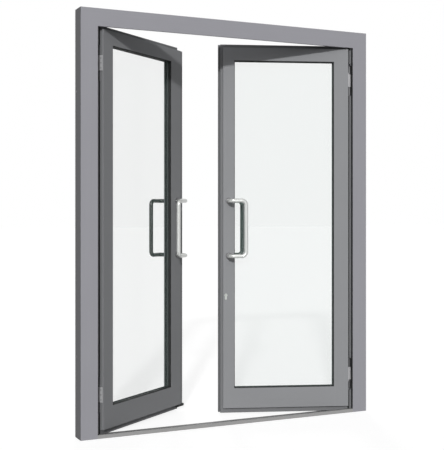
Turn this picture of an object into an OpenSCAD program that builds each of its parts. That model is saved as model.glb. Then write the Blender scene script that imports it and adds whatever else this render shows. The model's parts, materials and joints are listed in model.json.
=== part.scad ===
// Aluminium double door with its frame: two glazed leaves that open inward,
// a passive leaf on the left and an active, lockable leaf on the right.
// X runs along the wall, Y runs inward, Z is up. Origin: middle of the frame's underside.

/* [Frame] */
// Overall width of the frame
frame_w = 1644; // [1300:1:2200]
// Overall height of the frame
frame_h = 2100; // [1900:5:2600]
// Depth of the frame through the wall
frame_d = 90; // [84:1:130]
// Width of the frame's front face
frame_face = 87; // [80:1:110]
// Depth of the front stop lip
stop_t = 14; // [13:0.5:17]
// Depth of the rebate behind the stop lip
rebate = 24; // [22:1:30]
// Wall of the frame extrusion
frame_wall = 2.2; // [1.6:0.1:3]
// Diameter of the wall fixing holes in the jambs
fixing_d = 11; // [7:0.5:14]
// Height of the lower fixing holes
fixing_low_z = 400; // [340:5:600]
// Distance from the frame's top to the upper fixing holes
fixing_drop = 400; // [370:5:600]
// Length of the corner cleat's arms
cleat_arm = 90; // [50:5:120]

/* [Threshold] */
// Height of the threshold's front lip
sill_lip_h = 18; // [12:0.5:19]
// Thickness of the threshold's base plate
sill_base_t = 5; // [3:0.5:5.5]

/* [Leaves] */
// Depth of a leaf
leaf_d = 50; // [48:1:60]
// Depth of the leaf's front layer, ahead of the overlap flange
face_t = 20; // [20:0.5:22]
// Front gap between the stop lip and the leaf
leaf_gap = 8; // [6:0.5:10]
// Overlap flange at the hinge side and the top
flange = 19; // [17:0.5:20]
// Front width of the hinge stile
stile_face = 80; // [70:1:110]
// Front height of the top rail
top_rail_face = 70; // [60:1:120]
// Front height of the bottom rail
bottom_rail_face = 109; // [80:1:200]
// Front width of the active leaf's meeting stile
active_face = 61; // [60:1:80]
// Overlap flange on the active leaf's meeting edge
active_flange = 13; // [11:0.5:14]
// Rear lip beyond that flange
rear_lip = 11; // [8:0.5:12]
// Thickness of the rear lip
rear_lip_t = 12; // [8:0.5:12.5]
// Width of the passive leaf's meeting stile behind its cover lip
passive_face = 94; // [90:1:110]
// Cover lip on the passive leaf's meeting edge
cover_lip = 26; // [24:0.5:28]
// Thickness of the cover lip
cover_t = 12; // [8:0.5:13]
// How far the cover lip is set back from the leaf's face
cover_back = 3; // [1:0.5:3]
// Front gap between the two leaves
meet_gap = 5; // [4:0.5:6]
// Height of the leaf's front layer above the floor
front_foot = 35; // [35:0.5:50]
// Height of the leaf's flange above the floor
flange_foot = 8; // [7.5:0.5:10]
// Wall of the leaf extrusions
leaf_wall = 2; // [1.5:0.1:2.5]

/* [Glazing] */
// Thickness of each pane
pane_t = 5; // [4:0.5:6]
// Cavity between the panes
cavity = 12; // [10:0.5:12]
// Front leg of the glazing channel
leg_t = 10; // [8:0.5:10]
// Width of the glazing channel
channel = 18; // [16:0.5:22]
// How far the glass edge lies inside the channel
glass_bite = 14; // [10:0.5:15]
// Thickness of the front gasket
gasket_t = 4; // [3:0.5:4]
// Thickness of the rear gasket
rear_gasket_t = 3; // [2:0.5:4]
// How far the gaskets show past the channel's edge
gasket_show = 4; // [1:0.5:8]
// Width of the spacer bar between the panes
spacer_w = 13; // [8:0.5:16]
// Length of a setting block under the glass
block_l = 100; // [60:5:150]

/* [Hinges] */
// Hinge axis from the frame's outer edge
axis_x = 77; // [76:0.5:78]
// Hinge axis from the frame's front
axis_y = 52; // [50:0.5:56]
// Outer diameter of the hinge barrel
barrel_d = 20; // [16:0.5:20]
// Diameter of the hinge pin
pin_d = 10; // [7:0.5:12]
// Height of the leaf's middle knuckle
knuckle_mid = 69; // [50:1:90]
// Height of each frame knuckle
knuckle_end = 47; // [30:1:60]
// Thickness of the hinge wings
wing_t = 3; // [2:0.5:3.5]
// Height of the lower hinge's middle
hinge_low_z = 208; // [200:1:250]
// Distance from the frame's top to the upper hinge's middle
hinge_drop = 261; // [250:1:320]

/* [Handles] */
// Diameter of the handle bar
handle_d = 22; // [16:0.5:28]
// Distance between the handle's two arms
handle_span = 300; // [200:1:500]
// Height of the handle's middle
handle_z = 1018; // [980:1:1150]
// Distance from the leaf's face to the bar's middle
handle_out = 64; // [50:1:80]
// Reach of the arms from the posts to the grip
handle_arm = 88; // [70:1:110]
// Bend radius at the bar's middle
handle_bend = 24; // [16:0.5:30]
// Distance from the glass edge to the passive leaf's handle posts
passive_post = 60; // [40:1:70]
// Distance from the glass edge to the active leaf's handle posts
active_post = 31; // [30:1:36]
// Diameter of the roses under the posts
rose_d = 34; // [30:0.5:44]
// Thickness of the roses
rose_t = 4; // [2:0.5:8]
// Diameter of the through studs
stud_d = 8; // [5:0.5:10]

/* [Lock] */
// Height of the key cylinder's middle
lock_z = 652; // [600:1:700]
// Distance from the active leaf's front edge to the cylinder
lock_inset = 15; // [14:0.5:19]
// Diameter of the cylinder's round part
cyl_d = 17; // [15:0.5:17]
// Diameter of the turning plug
plug_d = 13; // [11:0.5:13.5]
// How far the cylinder stands proud of the leaf
cyl_proud = 3; // [1:0.5:5]
// Height of the deadbolt
bolt_h = 30; // [20:1:36]
// Thickness of the deadbolt
bolt_t = 8; // [6:0.5:8.5]

/* [Flush bolts] */
// Distance from the frame's top to the upper flush bolt's lever pivot
upper_bolt_drop = 400; // [350:5:600]
// Height of the lower flush bolt's lever pivot
lower_bolt_z = 350; // [330:5:500]
// Diameter of the flush bolt rods
rod_d = 10; // [7:0.5:10.5]
// Length of a flush bolt lever from its pivot
lever_l = 60; // [40:1:62]

/* [Rest pose] */
// Opening angle of the left leaf
left_open = 36; // [20:0.5:60]
// Opening angle of the right leaf
right_open = 19.5; // [15:0.5:60]

/* [Hidden] */
$fn = 48;

// Small allowances
run = 0.05;
slide = 0.5;
seal_gap = 0.5;
axial = 0.3;

// Colours
metal = [0.60, 0.60, 0.62];
bright = [0.75, 0.75, 0.76];
black = [0.08, 0.08, 0.08];
clear = [0.80, 0.88, 0.87, 0.35];
steel = [0.68, 0.68, 0.70];

// Places along X, measured from the frame's outer edge on a leaf's own hinge side
back_face = frame_face - rebate;
x_flange = frame_face + leaf_gap - flange;
x_front = frame_face + leaf_gap;
x_glass = x_front + stile_face;
sight_w = (frame_w - 2 * x_glass - passive_face - cover_lip - meet_gap - active_face) / 2;
x_meet = x_glass + sight_w;
x_passive = x_meet + passive_face;
x_cover = x_passive + cover_lip;
x_active = x_meet + active_face;
x_active_flange = x_active + active_flange;
x_rear_lip = x_active_flange + rear_lip;
x_post_passive = x_meet + passive_post;
x_post_active = x_meet + active_post;
x_lock = x_active - lock_inset;

// Places along Z
z_front_top = frame_h - frame_face - leaf_gap;
z_flange_top = z_front_top + flange;
z_glass_top = z_front_top - top_rail_face;
z_glass_low = front_foot + bottom_rail_face;

// Places along Y, measured from the frame's front
y_glass = leg_t + gasket_t;
y_inner_pane = y_glass + pane_t + cavity;
y_rear_gasket = y_inner_pane + pane_t;
y_bead = y_rear_gasket + rear_gasket_t;
y_rear_lip = leaf_d - rear_lip_t;
y_fixing = (stop_t + frame_d) / 2 + 12;

// Lock and flush bolt places
y_lock = 29;
lock_case_t = 14;
y_flush = 35;
case_t = 16;
case_wall = 2;
case_drop = 94;
case_rise = 106;
bolt_rise = 41;
case_low = lock_z - case_drop;
case_high = lock_z + case_rise;
bolt_z = lock_z + bolt_rise;
bolt_l = 34;
plate_t = 3;
plate_h = case_high - case_low + 20;
plate_w = 16;
case_back = x_lock - 14;
keep_h = 120;
rod_inset = 14;
bolt_case_w = 28;
bolt_case_up = 110;
bolt_case_down = 80;
upper_bolt_z = frame_h - upper_bolt_drop;
rod_x = x_passive - rod_inset;
lever_t = 6;
lever_w = 12;
lever_x = x_passive - lever_w / 2 - 3;
lever_pin_d = 4;
rod_start = lever_l + 8;
keep_hole_d = rod_d + 2;

wing_front = 4;
hinge_h = 2 * knuckle_end + knuckle_mid + 2 * axial;
cap_h = 3;
notch_room = 3;
notch_h = hinge_h + 2 * (cap_h + notch_room);
hinge_zs = [hinge_low_z, frame_h - hinge_drop];
handle_zs = [handle_z - handle_span / 2, handle_z + handle_span / 2];

// Placing helpers: pieces are drawn closed, on the left, from the frame's front corner
module left_side() translate([-frame_w / 2, -frame_d / 2, 0]) children();
module right_side() mirror([1, 0, 0]) left_side() children();
module hang(angle)
  translate([axis_x, axis_y, 0]) rotate([0, 0, angle]) translate([-axis_x, -axis_y, 0]) children();
module left_leaf() left_side() hang(left_open) children();
module right_leaf() right_side() hang(right_open) children();

// Box between two corners
module block(low, high) translate(low) cube(high - low);

// Flat rectangle between two corners
module rect(low, high) translate(low) square(high - low);

// Rod along Y
module rod_y(x, z, y0, y1, d) translate([x, y0, z]) rotate([-90, 0, 0]) cylinder(d = d, h = y1 - y0);

// Section of the frame: u is the distance from the outer edge, y the depth
module frame_section() {
  w = frame_wall;
  difference() {
    union() {
      rect([0, 0], [frame_face, stop_t]);
      rect([0, 0], [back_face, frame_d]);
    }
    rect([w, w], [frame_face - w, stop_t - w]);
    rect([w, stop_t], [back_face - w, frame_d - w]);
  }
}

// Flat outline in X and Z, pushed through the depth
module through_depth(points, y0, y1)
  translate([0, y1, 0]) rotate([90, 0, 0]) linear_extrude(y1 - y0) polygon(points);

module jamb() {
  difference() {
    intersection() {
      linear_extrude(frame_h) frame_section();
      through_depth([[0, 0], [frame_face, 0], [frame_face, frame_h - frame_face], [0, frame_h]],
                    -1, frame_d + 1);
    }
    for (z = [fixing_low_z, frame_h - fixing_drop])
      translate([-1, y_fixing, z]) rotate([0, 90, 0]) cylinder(d = fixing_d, h = frame_face);
  }
}

module left_jamb() color(metal) left_side() jamb();
module right_jamb() color(metal) right_side() jamb();

module head() {
  color(metal) left_side() difference() {
    intersection() {
      translate([0, 0, frame_h]) rotate([0, 90, 0]) linear_extrude(frame_w) frame_section();
      through_depth([[0, frame_h], [frame_face, frame_h - frame_face],
                     [frame_w - frame_face, frame_h - frame_face], [frame_w, frame_h]],
                    -1, frame_d + 1);
    }
    translate([rod_x, y_flush, frame_h - back_face - 1]) cylinder(d = keep_hole_d, h = frame_wall + 2);
  }
}

// Threshold: hollow stop lip at the front and a plate that runs back under the leaves
module threshold() {
  w = frame_wall;
  color(metal) left_side() difference() {
    union() {
      block([frame_face, 0, 0], [frame_w - frame_face, stop_t, sill_lip_h]);
      block([back_face, stop_t, 0], [frame_w - back_face, frame_d, sill_base_t]);
    }
    block([frame_face - 1, w, w], [frame_w - frame_face + 1, stop_t - w, sill_lip_h - w]);
    translate([rod_x, y_flush, -1]) cylinder(d = keep_hole_d, h = sill_base_t + 2);
  }
}

// Corner cleats that lock each mitre from inside the rear chamber
module corner_cleat() {
  w = frame_wall;
  low = frame_h - back_face;
  through_depth([[w, low - cleat_arm], [back_face - w, low - cleat_arm], [back_face - w, low + w],
                 [back_face + cleat_arm, low + w], [back_face + cleat_arm, frame_h - w],
                 [w, frame_h - w]], stop_t, stop_t + 40);
}

module frame_corner_cleats() {
  color(bright) {
    left_side() corner_cleat();
    right_side() corner_cleat();
  }
}

// Rubber strips behind the stop lip, which the closed leaves press on
module frame_stop_seals() {
  strip = 6;
  u0 = frame_face - strip - 2;
  u1 = frame_face - 2;
  top = frame_h - u0;
  y1 = face_t - seal_gap;
  color(black) {
    left_side() block([u0, stop_t, sill_base_t], [u1, y1, top]);
    right_side() block([u0, stop_t, sill_base_t], [u1, y1, top]);
    left_side() block([u1, stop_t, frame_h - u1], [frame_w - u1, y1, top]);
    left_side() block([u1, stop_t, sill_lip_h - strip], [frame_w - u1, y1, sill_lip_h]);
  }
}

// Frame half of a hinge: wing on the rebate, with a knuckle at each end
module hinge_frame_half() {
  wing_y0 = axis_y - 14;
  wing_y1 = frame_d - 8;
  difference() {
    union() {
      block([back_face, wing_y0, -hinge_h / 2], [back_face + wing_t, wing_y1, hinge_h / 2]);
      for (z = [-hinge_h / 2, hinge_h / 2 - knuckle_end]) {
        translate([axis_x, axis_y, z]) cylinder(d = barrel_d, h = knuckle_end);
        block([back_face, axis_y + 1, z], [axis_x, axis_y + barrel_d / 2 - 1, z + knuckle_end]);
      }
    }
    translate([axis_x, axis_y, -hinge_h]) cylinder(d = pin_d + 2 * run, h = 2 * hinge_h);
  }
}

module hinge_frame_halves() {
  color(steel) for (z = hinge_zs) {
    left_side() translate([0, 0, z]) hinge_frame_half();
    right_side() translate([0, 0, z]) hinge_frame_half();
  }
}

module hinge_pin() {
  translate([axis_x, axis_y, 0]) {
    translate([0, 0, -hinge_h / 2]) cylinder(d = pin_d, h = hinge_h);
    for (z = [-hinge_h / 2 - cap_h, hinge_h / 2])
      translate([0, 0, z]) cylinder(d = barrel_d - 3, h = cap_h);
  }
}

module hinge_pins() {
  color(steel) for (z = hinge_zs) {
    left_side() translate([0, 0, z]) hinge_pin();
    right_side() translate([0, 0, z]) hinge_pin();
  }
}

// Leaf half of a hinge: wing on the whole depth of the stile's edge, with the middle knuckle
module hinge_leaf_half() {
  difference() {
    union() {
      block([x_front - wing_t, wing_front, -knuckle_mid / 2 - 3], [x_front, leaf_d, knuckle_mid / 2 + 3]);
      translate([axis_x, axis_y, -knuckle_mid / 2]) cylinder(d = barrel_d, h = knuckle_mid);
      block([axis_x, axis_y - barrel_d / 2 + 1, -knuckle_mid / 2],
            [x_front - wing_t / 2, leaf_d - 1, knuckle_mid / 2]);
    }
    translate([axis_x, axis_y, -knuckle_mid]) cylinder(d = pin_d + 2 * run, h = 2 * knuckle_mid);
  }
}

module hinge_leaf_halves() color(bright) for (z = hinge_zs) translate([0, 0, z]) hinge_leaf_half();
module left_hinge_leaf_halves() left_leaf() hinge_leaf_halves();
module right_hinge_leaf_halves() right_leaf() hinge_leaf_halves();

// Striking plate for the upper flush bolt
module head_bolt_keep() {
  low = frame_h - back_face - plate_t;
  color(steel) left_side() difference() {
    block([rod_x - 30, y_flush - 10, low], [rod_x + 30, y_flush + 10, low + plate_t]);
    translate([rod_x, y_flush, low - 1]) cylinder(d = keep_hole_d, h = plate_t + 2);
  }
}

// Outline of a leaf extrusion with an overlap flange; u runs from the flange to the glass
module edge_outline(lap, face) {
  rect([0, face_t], [lap + face - channel, leaf_d]);
  rect([lap, 0], [lap + face - channel, face_t]);
  rect([lap, 0], [lap + face, leg_t]);
}

// Chambers of the same extrusion
module edge_chambers(lap, face) {
  w = leaf_wall;
  inner = lap + face - channel - w;
  rect([w, face_t + w], [lap - w, leaf_d - w]);
  rect([lap + w, face_t + w], [inner, leaf_d - w]);
  rect([lap + w, w], [inner, face_t - w]);
  rect([inner + 2 * w, w], [lap + face - w, leg_t - w]);
}

module edge_section(lap, face) difference() {
  edge_outline(lap, face);
  edge_chambers(lap, face);
}

// Cuts a stile's front layer to the rails' front edges
module stile_ends(x0, x1) {
  block([x0, -1, flange_foot - 1], [x1, face_t, front_foot]);
  block([x0, -1, z_front_top], [x1, face_t, z_flange_top + 1]);
}

module upright() translate([0, 0, flange_foot]) linear_extrude(z_flange_top - flange_foot) children();

module hinge_stile() {
  difference() {
    upright() translate([x_flange, 0]) edge_section(flange, stile_face);
    stile_ends(x_flange - 1, x_glass + 1);
    for (z = hinge_zs)
      block([x_flange - 1, face_t, z - notch_h / 2], [x_front, leaf_d + 1, z + notch_h / 2]);
  }
}

module left_hinge_stile() color(metal) left_leaf() hinge_stile();
module right_hinge_stile() color(metal) right_leaf() hinge_stile();

// Holes for the handle studs through a meeting stile
module stud_holes(x) for (z = handle_zs) rod_y(x, z, -1, leaf_d + 1, stud_d + 2 * run);

// Rear chamber of a meeting stile, from the channel to the edge wall
module meeting_chambers(x_front_end, x_rear_end) {
  w = leaf_wall;
  x0 = x_meet + channel + w;
  rect([x0, w], [x_front_end - w, face_t - w]);
  rect([x0, face_t + w], [x_rear_end - w, leaf_d - w]);
  rect([x_meet + w, w], [x0 - 2 * w, leg_t - w]);
}

module passive_section() {
  difference() {
    union() {
      rect([x_meet, 0], [x_passive, leg_t]);
      rect([x_meet + channel, 0], [x_passive, leaf_d]);
      rect([x_passive - leaf_wall, cover_back], [x_cover, cover_back + cover_t]);
    }
    meeting_chambers(x_passive, x_passive);
    rect([x_passive, cover_back + leaf_wall], [x_cover - leaf_wall, cover_back + cover_t - leaf_wall]);
  }
}

module left_meeting_stile() {
  edge = [x_passive - plate_t, x_passive + 1];
  color(metal) left_leaf() difference() {
    upright() passive_section();
    stile_ends(x_meet - 1, x_cover + 1);
    stud_holes(x_post_passive);
    block([edge[0], y_lock - plate_w / 2, bolt_z - keep_h / 2],
          [edge[1], y_lock + plate_w / 2, bolt_z + keep_h / 2]);
    for (s = [[upper_bolt_z, 1], [lower_bolt_z, -1]])
      translate([0, y_flush, s[0]]) mirror([0, 0, s[1] < 0 ? 1 : 0])
        block([edge[0], -case_t / 2, -bolt_case_down], [edge[1], case_t / 2, bolt_case_up]);
  }
}

module active_section() {
  difference() {
    union() {
      rect([x_meet, 0], [x_active, leg_t]);
      rect([x_meet + channel, 0], [x_active, face_t]);
      rect([x_meet + channel, face_t], [x_active_flange, leaf_d]);
      rect([x_active_flange - leaf_wall, y_rear_lip], [x_rear_lip, leaf_d]);
    }
    meeting_chambers(x_active, x_active_flange);
    rect([x_active_flange, y_rear_lip + leaf_wall], [x_rear_lip - leaf_wall, leaf_d - leaf_wall]);
  }
}

module right_meeting_stile() {
  color(metal) right_leaf() difference() {
    upright() active_section();
    stile_ends(x_meet - 1, x_active + 1);
    stud_holes(x_post_active);
    block([x_active_flange - plate_t, y_lock - plate_w / 2, case_low - 10],
          [x_active_flange + 1, y_lock + plate_w / 2, case_low - 10 + plate_h]);
    translate([0, -1, 0]) cylinder_bar(leaf_d + 2, slide);
  }
}

// Rails run between the stiles and are coped round the stiles' front legs
module rail_cope(z0, z1) {
  block([x_glass - channel - 1, -1, z0], [x_glass, leg_t, z1]);
  block([x_meet, -1, z0], [x_meet + channel + 1, leg_t, z1]);
}

module rail_span() rotate([0, 90, 0]) linear_extrude(sight_w + 2 * channel) children();

module top_rail() {
  difference() {
    translate([x_glass - channel, 0, z_flange_top]) rail_span() edge_section(flange, top_rail_face);
    rail_cope(z_glass_top - 1, z_flange_top + 1);
  }
}

module bottom_rail() {
  difference() {
    translate([x_glass - channel, 0, flange_foot]) rail_span()
      mirror([1, 0]) edge_section(front_foot - flange_foot, bottom_rail_face);
    rail_cope(flange_foot - 1, z_glass_low + 1);
  }
}

module left_top_rail() color(metal) left_leaf() top_rail();
module left_bottom_rail() color(metal) left_leaf() bottom_rail();
module right_top_rail() color(metal) right_leaf() top_rail();
module right_bottom_rail() color(metal) right_leaf() bottom_rail();

// Upright rectangle round the sight opening, grown by a margin
module sight(grow) rect([x_glass - grow, z_glass_low - grow], [x_meet + grow, z_glass_top + grow]);

module upright_plate(y0, y1) translate([0, y1, 0]) rotate([90, 0, 0]) linear_extrude(y1 - y0) children();

module outer_pane() color(clear) upright_plate(y_glass, y_glass + pane_t) sight(glass_bite);
module inner_pane() color(clear) upright_plate(y_inner_pane, y_inner_pane + pane_t) sight(glass_bite);

// Aluminium spacer bar between the panes
module spacer() {
  edge = 2;
  color(bright) upright_plate(y_glass + pane_t, y_inner_pane) difference() {
    sight(glass_bite - edge);
    sight(glass_bite - edge - spacer_w);
  }
}

module gasket(y0, y1) color(black) upright_plate(y0, y1) difference() {
  sight(glass_bite);
  sight(-gasket_show);
}

// Front gasket, with a lip that covers the end of the channel's front leg
module front_gasket() {
  lip_w = 2.5;
  lip_back = 1.5;
  gasket(leg_t, y_glass);
  color(black) upright_plate(lip_back, leg_t) difference() {
    sight(0);
    sight(-lip_w);
  }
}

// Snap-in beads on the rear, with a chamfered inner edge
module bead_section() {
  chamfer = 3;
  depth = leaf_d - y_bead;
  polygon([[0, 0], [channel, 0], [channel, depth - chamfer], [channel - chamfer, depth], [0, depth]]);
}

module glazing_beads() {
  x0 = x_glass - channel;
  x1 = x_meet + channel;
  side_l = z_glass_top - z_glass_low - 2 * axial;
  color(metal) translate([0, y_bead, 0]) {
    translate([x0, 0, z_glass_top + channel]) rotate([0, 90, 0]) linear_extrude(x1 - x0) bead_section();
    translate([x0, 0, z_glass_low - channel]) rotate([0, 90, 0]) linear_extrude(x1 - x0)
      mirror([1, 0]) bead_section();
    translate([x0, 0, z_glass_low + axial]) linear_extrude(side_l) bead_section();
    translate([x1, 0, z_glass_low + axial]) linear_extrude(side_l) mirror([1, 0]) bead_section();
  }
}

// Plastic blocks that carry the glass on the bottom rail
module setting_blocks() {
  low = z_glass_low - channel;
  color(black) for (x = [x_glass + sight_w / 4, x_meet - sight_w / 4])
    block([x - block_l / 2, y_glass, low], [x + block_l / 2, y_rear_gasket, z_glass_low - glass_bite]);
}

// Plugs that close the open ends of a stile's chambers
module stile_plugs() {
  plug_t = 4;
  difference() {
    union() {
      for (z = [flange_foot, z_flange_top - plug_t]) translate([0, 0, z]) linear_extrude(plug_t)
        intersection() {
          children();
          rect([0, face_t], [frame_w, leaf_d]);
        }
      for (z = [front_foot, z_front_top - plug_t]) translate([0, 0, z]) linear_extrude(plug_t)
        intersection() {
          children();
          rect([0, 0], [frame_w, face_t]);
        }
    }
    translate([rod_x, y_flush, 0]) cylinder(d = rod_d + 2 * slide, h = frame_h);
  }
}

module left_end_plugs() {
  color(black) left_leaf() {
    stile_plugs() translate([x_flange, 0]) edge_chambers(flange, stile_face);
    stile_plugs() meeting_chambers(x_passive, x_passive);
  }
}

module right_end_plugs() {
  color(black) right_leaf() {
    stile_plugs() translate([x_flange, 0]) edge_chambers(flange, stile_face);
    stile_plugs() meeting_chambers(x_active, x_active_flange);
  }
}

module left_outer_pane() left_leaf() outer_pane();
module left_inner_pane() left_leaf() inner_pane();
module left_spacer() left_leaf() spacer();
module left_glazing_beads() left_leaf() glazing_beads();
module left_front_gasket() left_leaf() front_gasket();
module left_rear_gasket() left_leaf() gasket(y_rear_gasket, y_bead);
module left_setting_blocks() left_leaf() setting_blocks();
module right_outer_pane() right_leaf() outer_pane();
module right_inner_pane() right_leaf() inner_pane();
module right_spacer() right_leaf() spacer();
module right_glazing_beads() right_leaf() glazing_beads();
module right_front_gasket() right_leaf() front_gasket();
module right_rear_gasket() right_leaf() gasket(y_rear_gasket, y_bead);
module right_setting_blocks() right_leaf() setting_blocks();

// Quarter of a round bend, from +X towards +Y
module quarter_bend() rotate_extrude(angle = 90) translate([handle_bend, 0]) circle(d = handle_d);

// One arm of a pull handle: post out of the leaf, elbow, arm towards the glass, elbow to the grip
module handle_arm_piece() {
  r = handle_bend;
  rod_y(0, 0, -handle_out + r, -rose_t, handle_d);
  translate([-r, -handle_out + r, 0]) rotate([0, 0, -90]) quarter_bend();
  translate([-r, -handle_out, 0]) rotate([0, -90, 0]) cylinder(d = handle_d, h = handle_arm - 2 * r);
  translate([r - handle_arm, -handle_out, -r]) rotate([90, 0, 0]) rotate([0, 0, 90]) quarter_bend();
}

// Bent bar handle on the front of a leaf
module pull_handle(x) {
  half = handle_span / 2;
  color(bright) translate([x, 0, handle_z]) {
    translate([0, 0, half]) handle_arm_piece();
    mirror([0, 0, 1]) translate([0, 0, half]) handle_arm_piece();
    translate([-handle_arm, -handle_out, handle_bend - half])
      cylinder(d = handle_d, h = handle_span - 2 * handle_bend);
  }
}

module to_rear() translate([0, leaf_d, 0]) mirror([0, 1, 0]) children();

module rose(x, z) difference() {
  rod_y(x, z, -rose_t, 0, rose_d);
  rod_y(x, z, -rose_t - 1, 1, stud_d + 2 * run);
}

module handle_roses(x) color(bright) for (z = handle_zs) {
  rose(x, z);
  to_rear() rose(x, z);
}

module handle_studs(x) color(steel)
  for (z = handle_zs) rod_y(x, z, -rose_t, leaf_d + rose_t, stud_d);

module left_front_handle() left_leaf() pull_handle(x_post_passive);
module left_rear_handle() left_leaf() to_rear() pull_handle(x_post_passive);
module left_handle_roses() left_leaf() handle_roses(x_post_passive);
module left_handle_studs() left_leaf() handle_studs(x_post_passive);
module right_front_handle() right_leaf() pull_handle(x_post_active);
module right_rear_handle() right_leaf() to_rear() pull_handle(x_post_active);
module right_handle_roses() right_leaf() handle_roses(x_post_active);
module right_handle_studs() right_leaf() handle_studs(x_post_active);

// Brush strip under the leaf's flange
module bottom_seal(x_end) {
  strip_h = flange_foot - sill_base_t - 1;
  color(black) block([x_flange + 2, face_t + 5, flange_foot - strip_h],
                     [rod_x - 14, leaf_d - 5, flange_foot]);
  color(black) block([rod_x + 10, face_t + 5, flange_foot - strip_h], [x_end, leaf_d - 5, flange_foot]);
}

module left_bottom_seal() left_leaf() bottom_seal(x_passive);
module right_bottom_seal() color(black) right_leaf()
  block([x_flange + 2, face_t + 5, sill_base_t + 1], [x_active_flange, leaf_d - 5, flange_foot]);

// Rubber block that closes the foot of the meeting gap
module meeting_dust_block() {
  low = sill_lip_h + 2;
  high = front_foot - 2;
  color(black) left_leaf() {
    block([x_passive - 20, 4, low], [x_passive, face_t, high]);
    block([x_passive - 20, 4, low], [x_cover + 18, face_t - 3, high]);
  }
}

// Rubber strip behind the passive leaf's cover lip, with a round nose that meets the active leaf
module meeting_seal() {
  nose = face_t - seal_gap - cover_back - cover_t;
  x0 = x_cover - 10;
  y0 = cover_back + cover_t;
  color(black) left_leaf() translate([0, 0, front_foot + 1])
    linear_extrude(z_front_top - front_foot - 2) {
      rect([x0, y0], [x0 + 8, y0 + nose / 2]);
      translate([x0 + 4, y0 + nose / 2]) circle(d = nose);
    }
}

// Profile of a key cylinder: round barrel above a narrow tail
module cylinder_outline(grow) {
  tail_w = 10;
  tail_drop = 19.5;
  circle(d = cyl_d + 2 * grow);
  rect([-tail_w / 2 - grow, -tail_drop], [tail_w / 2 + grow, 0]);
  translate([0, -tail_drop]) circle(d = tail_w + 2 * grow);
}

module cylinder_bar(len, grow) translate([x_lock, len, lock_z]) rotate([90, 0, 0])
  linear_extrude(len) cylinder_outline(grow);

cam_y0 = y_lock - 3;
cam_y1 = y_lock + 3;
cam_r = 11;

// Key cylinder body, open in the middle where its cam turns
module key_cylinder() {
  y0 = -cyl_proud;
  y1 = leaf_d + cyl_proud;
  color(steel) right_leaf() difference() {
    translate([0, y0, 0]) cylinder_bar(y1 - y0, 0);
    rod_y(x_lock, lock_z, y0 - 1, y1 + 1, plug_d + 2 * run);
    block([x_lock - cyl_d, cam_y0 - slide, lock_z - cam_r - 1],
          [x_lock + cyl_d, cam_y1 + slide, lock_z + cyl_d]);
  }
}

// Turning plug with its cam and a key slot in each end
module key_plug() {
  y0 = -cyl_proud - 0.5;
  y1 = leaf_d + cyl_proud + 0.5;
  slot_w = 2.4;
  slot_h = 8;
  slot_deep = 20;
  color(bright) right_leaf() difference() {
    union() {
      rod_y(x_lock, lock_z, y0, y1, plug_d);
      block([x_lock - 4, cam_y0, lock_z], [x_lock + 4, cam_y1, lock_z + cam_r - 1]);
    }
    for (y = [y0 - 1, y1 - slot_deep])
      block([x_lock - slot_w / 2, y, lock_z - slot_h / 2],
            [x_lock + slot_w / 2, y + slot_deep + 1, lock_z + slot_h / 2]);
  }
}

// Sheet case of the mortise lock
module lock_case() {
  x1 = x_active_flange - plate_t;
  y0 = y_lock - lock_case_t / 2;
  y1 = y_lock + lock_case_t / 2;
  color(steel) right_leaf() difference() {
    block([case_back, y0, case_low], [x1, y1, case_high]);
    block([case_back + case_wall, y0 + case_wall, case_low + case_wall],
          [x1 - case_wall, y1 - case_wall, case_high - case_wall]);
    translate([0, y0 - 1, 0]) cylinder_bar(lock_case_t + 2, slide);
    bolt_slot(x1 - case_wall - 1, x1 + 1);
  }
}

module bolt_slot(x0, x1) block([x0, y_lock - bolt_t / 2 - slide, bolt_z - bolt_h / 2 - slide],
                               [x1, y_lock + bolt_t / 2 + slide, bolt_z + bolt_h / 2 + slide]);

module lock_faceplate() {
  x1 = x_active_flange;
  z0 = case_low - 10;
  color(bright) right_leaf() difference() {
    block([x1 - plate_t, y_lock - plate_w / 2, z0], [x1, y_lock + plate_w / 2, z0 + plate_h]);
    bolt_slot(x1 - plate_t - 1, x1 + 1);
  }
}

module deadbolt() {
  x1 = x_active_flange;
  color(steel) right_leaf()
    block([x1 - bolt_l, y_lock - bolt_t / 2, bolt_z - bolt_h / 2],
          [x1, y_lock + bolt_t / 2, bolt_z + bolt_h / 2]);
}

// Plate on the passive leaf's edge that takes the deadbolt
module lock_keep() {
  play = 2;
  color(bright) left_leaf() difference() {
    block([x_passive - plate_t, y_lock - plate_w / 2, bolt_z - keep_h / 2],
          [x_passive, y_lock + plate_w / 2, bolt_z + keep_h / 2]);
    block([x_passive - plate_t - 1, y_lock - bolt_t / 2 - play, bolt_z - bolt_h / 2 - play],
          [x_passive + 1, y_lock + bolt_t / 2 + play, bolt_z + bolt_h / 2 + play]);
  }
}

// Flush bolt on the passive leaf's edge; up is 1 for the upper one and -1 for the lower one
module flush_bolt(z, up) left_leaf() translate([0, y_flush, z]) mirror([0, 0, up < 0 ? 1 : 0]) children();

module bolt_case() {
  x0 = x_passive - bolt_case_w;
  slot = lever_t + 2;
  color(steel) difference() {
    block([x0, -case_t / 2, -bolt_case_down], [x_passive, case_t / 2, bolt_case_up]);
    block([x0 + 6, -slot / 2, -lever_l - 4], [x_passive + 1, slot / 2, lever_l + 4]);
    translate([rod_x, 0, rod_start - 1]) cylinder(d = rod_d + 2 * run, h = bolt_case_up);
    translate([lever_x, case_t / 2 - 1, 0]) rotate([90, 0, 0])
      cylinder(d = lever_pin_d + 2 * run, h = case_t - 2);
  }
}

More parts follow.
